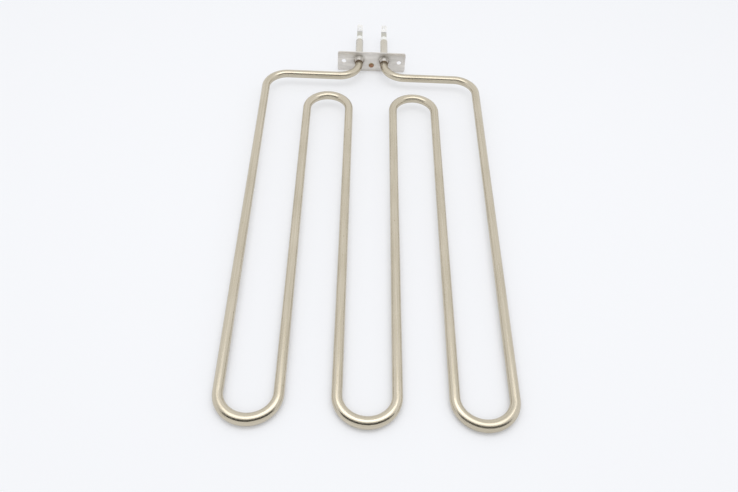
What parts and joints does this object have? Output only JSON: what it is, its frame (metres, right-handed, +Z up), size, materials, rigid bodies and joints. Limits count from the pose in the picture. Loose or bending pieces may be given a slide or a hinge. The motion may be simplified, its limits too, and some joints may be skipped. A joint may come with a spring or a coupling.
{
  "type": "tubular heating element",
  "caption": "Serpentine tubular heating element: metal-sheathed heater tube on a small mounting plate, with blade terminals and an earth tab.",
  "frame": {"origin": "midway between the two screw holes, on the mounting plate's rear face, which seats on the appliance wall", "axes": "+Y from the heated legs to the terminals, +Z up square to the level legs, +X to the right seen from the legs' free end"},
  "size_m": [0.2384, 0.5145, 0.025],
  "materials": {
    "sheath_steel": "satin, light golden annealed stainless steel",
    "magnesia": "compacted powder",
    "resistance_wire": "drawn nickel-chromium wire",
    "pin_steel": "nickel-plated steel",
    "silicone_seal": "cured silicone resin",
    "bead_ceramic": "fired, unglazed",
    "plated_blade": "nickel-plated strip",
    "plate_steel": "satin sheet steel",
    "collar_steel": "turned steel, heat tinted by brazing",
    "rivet_copper": "dull copper"
  },
  "bodies": {
    "root": {"sheath_tube": "sheath_steel", "magnesia_filling": "magnesia", "magnesia_core": "magnesia", "resistance_coil": "resistance_wire", "cold_pin_left": "pin_steel", "cold_pin_right": "pin_steel", "seal_plug_left": "silicone_seal", "seal_plug_right": "silicone_seal", "end_bead_left": "bead_ceramic", "end_bead_right": "bead_ceramic", "blade_terminal_left": "plated_blade", "blade_terminal_right": "plated_blade", "mounting_plate": "plate_steel", "collar_left": "collar_steel", "collar_right": "collar_steel", "earth_tab": "plated_blade", "earth_rivet": "rivet_copper"}
  },
  "joints": []
}
